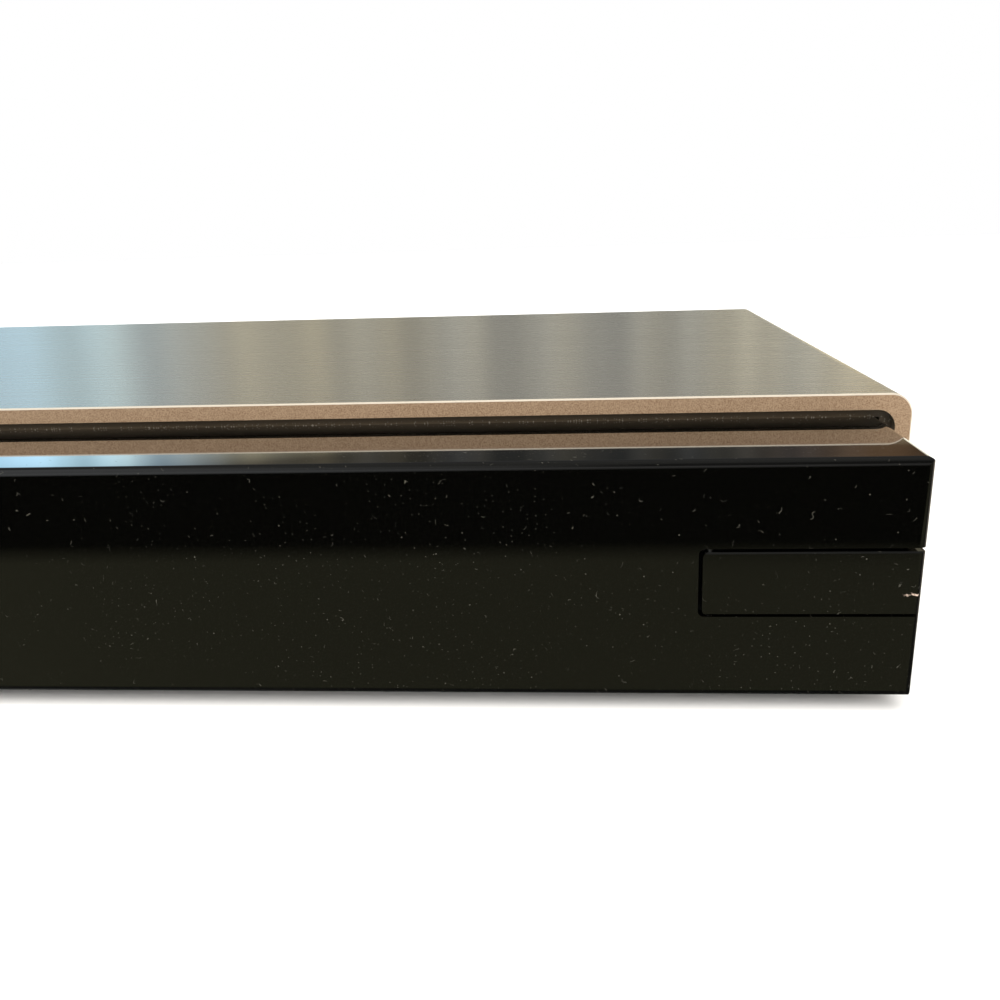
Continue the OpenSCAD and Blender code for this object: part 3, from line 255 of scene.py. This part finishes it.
def sleeve_aluminium():
    """Champagne aluminium: lines across the top and down the sides, bead-blasted edges, bright bevels."""
    brushed_dark, brushed_light = (0.5, 0.47, 0.42), (0.72, 0.68, 0.6)
    blasted_dark, blasted_light = (0.43, 0.3, 0.19), (0.5, 0.36, 0.235)
    pit_color, bevel_color = (0.27, 0.17, 0.1), (0.9, 0.81, 0.67)
    shine_top, shine_edge, shine_bevel = 0.85, 0.35, 0.6
    rough_low, rough_high, rough_edge, rough_bevel = 0.23, 0.31, 0.55, 0.3
    paint = Paint("sleeve_aluminium", (0.62, 0.575, 0.5), 0.3, 1.0, Anisotropic=0.9)
    paint.feed("Tangent", paint.node("ShaderNodeCombineXYZ", {"Y": 1.0}).outputs["Vector"])
    turned = paint.math("ABSOLUTE", paint.facing("Y"))
    edge = paint.map(turned, 0.9, 0.95)
    off_edge = paint.math("SUBTRACT", 1.0, edge)
    bevel = paint.math("MULTIPLY", paint.map(turned, 0.1, 0.3), off_edge)
    lines = paint.noise(30.0, 4.0, (0.2, 150.0, 0.2), 0.6)
    coarse = paint.noise(14.0, 2.0, (0.12, 60.0, 0.12))
    streak = paint.math("MULTIPLY", paint.math("ADD", lines, coarse), 0.5)
    brushed = paint.blend(streak, brushed_dark, brushed_light)
    pits = paint.noise(4600.0, 2.0)
    tone = paint.blend(paint.noise(1900.0, 1.0), blasted_dark, blasted_light)
    blasted = paint.blend(paint.map(pits, 0.34, 0.6), pit_color, tone)
    face = paint.blend(edge, brushed, blasted)
    paint.feed("Base Color", paint.blend(bevel, face, bevel_color))
    satin = paint.map(streak, NOISE_LOW, NOISE_HIGH, rough_low, rough_high)
    matt = paint.blend(edge, satin, (rough_edge,) * 3)
    paint.feed("Roughness", paint.blend(bevel, matt, (rough_bevel,) * 3))
    shine = paint.map(edge, 0.0, 1.0, shine_top, shine_edge)
    paint.feed("Metallic", paint.blend(bevel, shine, (shine_bevel,) * 3))
    paint.bump(paint.math("MULTIPLY", lines, off_edge), 0.008 * MM, 0.3)
    paint.bump(paint.math("MULTIPLY", pits, edge), 0.03 * MM, 0.5)
    return paint


def shadow_plastic():
    """Matt dark plastic in the gap under the sleeve, with fine pale dust along its foot."""
    color, dust_color = (0.11, 0.083, 0.052), (0.45, 0.4, 0.32)
    dark, light = tuple(0.75 * c for c in color), tuple(1.15 * c for c in color)
    dust_top, dust_full = 43.6 * MM, 43.1 * MM
    paint = moulded("shadow_plastic", color, 0.6)
    low = paint.map(paint.position("Z"), dust_top, dust_full)
    fine = paint.specks(cell=0.5 * MM, size=0.12 * MM, share=0.5)
    large = paint.specks(cell=1.3 * MM, size=0.18 * MM, share=0.4)
    dust = paint.math("MULTIPLY", low, paint.math("MAXIMUM", fine, large))
    tone = paint.blend(paint.noise(90.0), dark, light)
    paint.feed("Base Color", paint.blend(dust, tone, dust_color))
    return paint


def circuit_board(name, color, track):
    """Circuit board: bundles of fine tracks in blocks, and small soldered points."""
    pitch, width = 1.2 * MM, 0.32
    blocks_per_metre, along_x_share, tracked_share = 95.0, 0.5, 0.6
    solder_color = (0.5, 0.5, 0.48)
    paint = moulded(name, color, 0.4)
    blocks = paint.node("ShaderNodeTexVoronoi", {"Vector": paint.coords, "Scale": blocks_per_metre},
                        voronoi_dimensions="2D", distance="CHEBYCHEV").outputs["Color"]
    draw = paint.node("ShaderNodeSeparateColor", {"Color": blocks}).outputs
    step_x, step_y = [paint.math("FRACT", paint.math("DIVIDE", paint.position(axis), pitch))
                      for axis in "XY"]
    chosen = paint.math("LESS_THAN", draw[0], along_x_share)
    other = paint.math("SUBTRACT", 1.0, chosen)
    lines = paint.math("LESS_THAN", paint.math("MULTIPLY", step_x, chosen), width)
    rows = paint.math("LESS_THAN", paint.math("MULTIPLY", step_y, other), width)
    tracked = paint.math("LESS_THAN", draw[1], tracked_share)
    tracks = paint.math("MULTIPLY", paint.math("MULTIPLY", lines, rows), tracked)
    points = paint.specks(cell=3.4 * MM, size=0.5 * MM, share=0.4)
    printed = paint.blend(tracks, paint.painted(), track)
    paint.feed("Base Color", paint.blend(points, printed, solder_color))
    return paint


# Finishes by material slot
finishes = {
    "sleeve_aluminium": sleeve_aluminium(),
    "shadow_plastic": shadow_plastic(),
    "chassis_steel": moulded("chassis_steel", (0.018, 0.018, 0.019), 0.5, grain=0.06 * MM),
    "rear_steel": moulded("rear_steel", (0.014, 0.014, 0.0145), 0.55, grain=0.1 * MM),
    "foot_plastic": moulded("foot_plastic", (0.012, 0.012, 0.012), 0.5),
    "foot_rubber": moulded("foot_rubber", (0.03, 0.03, 0.03), 0.85),
    "screw_steel": metal("screw_steel", (0.42, 0.42, 0.41), 0.3),
    "gloss_black": gloss_black("gloss_black", 0.03),
    "flap_black": flap_black(),
    "smoked_window": gloss_black("smoked_window", 0.03, tint=(0.006, 0.0045, 0.003)),
    "display_glass": moulded("display_glass", (0.02, 0.045, 0.04), 0.15),
    "green_board": circuit_board("green_board", (0.014, 0.085, 0.038), (0.03, 0.16, 0.07)),
    "brown_board": circuit_board("brown_board", (0.2, 0.12, 0.042), (0.26, 0.165, 0.065)),
    "lamp_red": moulded("lamp_red", (0.3, 0.016, 0.01), 0.18),
    "switch_plastic": moulded("switch_plastic", (0.5, 0.5, 0.47), 0.45),
    "socket_metal": metal("socket_metal", (0.62, 0.61, 0.59), 0.28),
    "socket_black": moulded("socket_black", (0.012, 0.012, 0.0125), 0.4),
    "loader_plastic": moulded("loader_plastic", (0.02, 0.02, 0.021), 0.5),
    "plated_steel": metal("plated_steel", (0.5, 0.5, 0.5), 0.34),
    "white_plastic": moulded("white_plastic", (0.5, 0.48, 0.42), 0.42, spread=0.08),
    "brass_piece": metal("brass_piece", (0.72, 0.54, 0.24), 0.26),
    "belt_rubber": moulded("belt_rubber", (0.012, 0.012, 0.012), 0.7),
    "tray_plastic": moulded("tray_plastic", (0.016, 0.016, 0.016), 0.45, grain=0.08 * MM),
    "traverse_metal": metal("traverse_metal", (0.13, 0.135, 0.14), 0.42),
    "turntable_plastic": moulded("turntable_plastic", (0.02, 0.02, 0.02), 0.4),
    "sled_metal": metal("sled_metal", (0.28, 0.28, 0.285), 0.45),
    "lens_glass": moulded("lens_glass", (0.05, 0.12, 0.22), 0.05),
    "chip_black": moulded("chip_black", (0.014, 0.014, 0.015), 0.5),
    "heat_sink_black": metal("heat_sink_black", (0.05, 0.05, 0.05), 0.45),
    "heat_sink_plain": metal("heat_sink_plain", (0.55, 0.55, 0.56), 0.4),
    "winding_tape": moulded("winding_tape", (0.5, 0.34, 0.05), 0.4),
    "capacitor_sleeve": moulded("capacitor_sleeve", (0.018, 0.032, 0.075), 0.3),
    "ribbon_film": moulded("ribbon_film", (0.46, 0.46, 0.43), 0.4, spread=0.08),
}
for part in frame["record"]["subparts"]:
    holder = nodes[part["node"]]
    holder.data.materials.clear()
    holder.data.materials.append(finishes[part["material_slot"]].mat)


# Small pieces on the case
def cross_screws(name, places, face_y, radius, height):
    """Pan heads with a cross recess, standing on a face that looks along +Y."""
    steps = 32
    quarter = steps // 4
    recess_arm, recess_root = 0.55, 0.2
    # Shares of the radius and height, ring by ring; the cross has two radii of its own
    profile = ((1.0, 0.0), (1.0, 0.55), (0.8, 1.0), (None, 1.0), (None, 0.3))
    shape = bmesh.new()
    for x, z in places:
        rings = []
        for share, up in profile:
            ring = []
            for k in range(steps):
                arm = k % quarter in (0, 1, quarter - 1)
                reach = radius * (share or (recess_arm if arm else recess_root))
                turn = 2 * math.pi * k / steps
                ring.append(shape.verts.new((x + reach * math.cos(turn), face_y + up * height,
                                             z + reach * math.sin(turn))))
            rings.append(ring)
        for low_ring, high_ring in zip(rings, rings[1:]):
            for k in range(steps):
                n = (k + 1) % steps
                shape.faces.new((low_ring[k], high_ring[k], high_ring[n], low_ring[n]))
        shape.faces.new(rings[-1])
    mesh = bpy.data.meshes.new(name)
    bmesh.ops.recalc_face_normals(shape, faces=shape.faces)
    shape.to_mesh(mesh)
    shape.free()
    mesh.materials.append(finishes["screw_steel"].mat)
    screws = bpy.data.objects.new(name, mesh)
    bpy.context.collection.objects.link(screws)
    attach(screws, "case")


def tray_seal():
    """Soft black strip behind the front, over the gap above the tray's door."""
    door_low, door_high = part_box("tray_front")
    tray_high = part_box("tray")[1]
    wall_y = door_high[1] - 0.5 * MM
    front, back = door_high[1] + 0.2 * MM, door_high[1] + 1.0 * MM
    foot, step, top = tray_high[2] + 0.4 * MM, door_high[2] + 0.8 * MM, door_high[2] + 4.5 * MM
    profile = [(front, foot), (back, foot), (back, top), (wall_y, top), (wall_y, step), (front, step)]
    count = len(profile)
    points = [(x, y, z) for x in (door_low[0], door_high[0]) for y, z in profile]
    sides = [(k, (k + 1) % count, count + (k + 1) % count, count + k) for k in range(count)]
    ends = [tuple(reversed(range(count))), tuple(range(count, 2 * count))]
    mesh = bpy.data.meshes.new("tray_seal")
    mesh.from_pydata(points, [], sides + ends)
    mesh.materials.append(finishes["belt_rubber"].mat)
    seal = bpy.data.objects.new("tray_seal", mesh)
    bpy.context.collection.objects.link(seal)
    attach(seal, "case")


def jack_ring(name, slot, x, y, z, outer, inner):
    """Coloured collar round an audio jack, flat on the rear panel."""
    steps = 40
    thick = 0.4 * MM
    profile = ((outer, 0.0), (outer, thick), (inner, thick), (inner, 0.0))
    points = []
    for reach, out in profile:
        for k in range(steps):
            turn = 2 * math.pi * k / steps
            points.append((x + reach * math.cos(turn), y + out, z + reach * math.sin(turn)))
    faces = []
    for ring in range(len(profile)):
        after = (ring + 1) % len(profile)
        for k in range(steps):
            n = (k + 1) % steps
            faces.append((ring * steps + k, ring * steps + n, after * steps + n, after * steps + k))
    mesh = bpy.data.meshes.new(name)
    mesh.from_pydata(points, [], faces)
    mesh.materials.append(finishes[slot].mat)
    collar = bpy.data.objects.new(name, mesh)
    bpy.context.collection.objects.link(collar)
    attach(collar, "case")


tray_seal()
rear_low, rear_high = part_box("rear_panel")
inset = 7 * MM
left_x, right_x = rear_low[0] + inset, rear_high[0] - inset
low_z, high_z = rear_low[2] + inset, rear_high[2] - inset
inner_left_x, inner_right_x = -50 * MM, 118 * MM
rear_places = [(x, z) for x in (left_x, right_x) for z in (low_z, high_z)]
rear_places += [(inner_right_x, high_z), (inner_left_x, high_z), (inner_left_x, low_z)]
cross_screws("rear_screws", rear_places, rear_high[1], radius=2.8 * MM, height=1.5 * MM)
jack_low, jack_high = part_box("audio_sockets")
jack_side, jack_drop = 6.5 * MM, 6 * MM
for name, slot, x in (("audio_ring_right", "lamp_red", jack_low[0] + jack_side),
                      ("audio_ring_left", "white_plastic", jack_high[0] - jack_side)):
    jack_ring(name, slot, x, rear_high[1], jack_high[2] - jack_drop, outer=5.6 * MM, inner=4.5 * MM)


# Floor, light and camera
def studio_floor():
    """Plain pale floor that leaves no mirror image on the gloss."""
    paint = moulded("studio_floor", (0.86, 0.86, 0.85), 0.8, grain=0.0, spread=0.01)
    mesh = bpy.data.meshes.new("studio_floor")
    reach = 60.0
    corners = [(-reach, -reach, 0), (reach, -reach, 0), (reach, reach, 0), (-reach, reach, 0)]
    mesh.from_pydata(corners, [], [(0, 1, 2, 3)])
    floor = bpy.data.objects.new("studio_floor", mesh)
    bpy.context.collection.objects.link(floor)
    mesh.materials.append(paint.mat)
    floor.visible_glossy = False


def soft_sun(name, place, strength, angle, color):
    """Even light from one side that leaves no mirror image on the gloss."""
    light = bpy.data.lights.new(name, "SUN")
    light.energy = strength
    light.angle = math.radians(angle)
    light.color = color
    lamp = bpy.data.objects.new(name, light)
    bpy.context.collection.objects.link(lamp)
    lamp.location = place
    lamp.rotation_euler = (-Vector(place)).to_track_quat("-Z", "Y").to_euler()
    lamp.visible_glossy = False


def studio_world():
    """Soft studio surroundings: a window side on the left, a warm wall on the right, a dim front."""
    world = bpy.data.worlds.new("studio")
    bpy.context.scene.world = world
    world.use_nodes = True
    sky = Graph(world.node_tree, "Generated")
    across = sky.map(sky.position("X"), -1.0, 1.0)
    depth = sky.map(sky.position("Y"), -0.15, 0.15)
    height = sky.position("Z")
    # Behind: bright low down, dimmer above, a little uneven, dark below the horizon
    back_low = sky.ramp(across, [
        (0.12, (0.85, 1.45, 1.9)),
        (0.2, (0.8, 1.3, 1.65)),
        (0.28, (1.1, 1.05, 0.75)),
        (0.48, (0.9, 0.94, 0.83)),
        (0.64, (1.9, 1.8, 1.3)),
        (0.72, (0.9, 0.8, 0.6)),
        (0.9, (0.55, 0.5, 0.42))])
    back_mid = sky.ramp(across, [
        (0.1, (0.55, 0.9, 1.15)),
        (0.2, (0.45, 0.72, 0.9)),
        (0.28, (0.11, 0.1, 0.075)),
        (0.4, (0.055, 0.055, 0.05)),
        (0.55, (0.06, 0.06, 0.055)),
        (0.68, (0.16, 0.1, 0.06)),
        (0.9, (0.16, 0.1, 0.06))])
    uneven = sky.blend(sky.wander(across, 34.0), (0.7, 0.72, 0.74), (1.4, 1.38, 1.35))
    tint = sky.blend(sky.wander(across, 21.0), (0.94, 0.98, 1.1), (1.08, 1.01, 0.9))
    back = sky.blend(sky.map(height, 0.17, 0.225), back_low, back_mid)
    back = sky.times(back, sky.times(uneven, tint))
    back = sky.blend(sky.map(height, -0.25, -0.45), back, (0.02, 0.02, 0.016))
    # In front: a soft panel at eye level, and the ground, which fades to dark
    slope = sky.math("DIVIDE", height, sky.math("SUBTRACT", 0.001, sky.position("Y")))
    panel = sky.ramp(across, [
        (0.2, (0.55, 0.57, 0.58)),
        (0.5, (0.34, 0.34, 0.33)),
        (0.85, (0.14, 0.13, 0.12))])
    level = sky.blend(sky.map(slope, -0.2, 0.15), (0.004, 0.004, 0.003), panel)
    ground = sky.blend(sky.map(slope, -0.65, -1.0), (0.145, 0.142, 0.088), (0.03, 0.03, 0.028))
    front = sky.blend(sky.map(slope, -0.37, -0.395), level, ground)
    sides = sky.blend(depth, front, back)
    # Above: brighter in front on the left, even behind and overhead
    canopy = sky.ramp(across, [
        (0.2, (0.45, 0.46, 0.47)),
        (0.4, (0.3, 0.3, 0.29)),
        (0.52, (0.08, 0.08, 0.08)),
        (0.8, (0.03, 0.03, 0.03))])
    above = sky.blend(depth, canopy, (0.1, 0.1, 0.1))
    upper = sky.blend(sky.map(height, 0.32, 0.45), sides, above)
    overhead = sky.blend(sky.map(height, 0.78, 0.92), upper, (0.2, 0.2, 0.19))
    seen = sky.node("ShaderNodeLightPath").outputs["Is Camera Ray"]
    plain = sky.blend(seen, overhead, (1.0, 1.0, 1.0))
    world.node_tree.links.new(plain, world.node_tree.nodes["Background"].inputs["Color"])


def photo_camera():
    """The photo's view: turned about the upright, tipped down, then rolled, in degrees."""
    place = (0.16536, -0.2320, 0.07376)
    turned, tipped, rolled = 3.92, 90 - 18.44, -1.716
    data = bpy.data.cameras.new("photo_camera")
    data.sensor_width = 36.0
    data.lens = 29.196
    data.shift_x = -0.0809
    data.shift_y = 0.0173
    data.clip_start = 0.01
    camera = bpy.data.objects.new("photo_camera", data)
    bpy.context.collection.objects.link(camera)
    view = Matrix.Translation(place)
    for degrees, axis in ((turned, "Z"), (tipped, "X"), (rolled, "Z")):
        view = view @ Matrix.Rotation(math.radians(degrees), 4, axis)
    camera.matrix_world = view
    bpy.context.scene.camera = camera


studio_floor()
studio_world()
soft_sun("key", (0.3, -0.9, 1.6), strength=4.6, angle=70.0, color=(1.0, 0.98, 0.95))
soft_sun("fill", (0.15, -1.0, 0.22), strength=0.15, angle=30.0, color=(1.0, 0.95, 0.88))
soft_sun("right", (1.0, -0.55, 0.3), strength=2.8, angle=40.0, color=(1.0, 0.95, 0.92))
soft_sun("rear", (-0.5, 1.0, 0.8), strength=1.4, angle=60.0, color=(0.95, 0.98, 1.0))
photo_camera()
bpy.context.scene.view_settings.view_transform = "Standard"
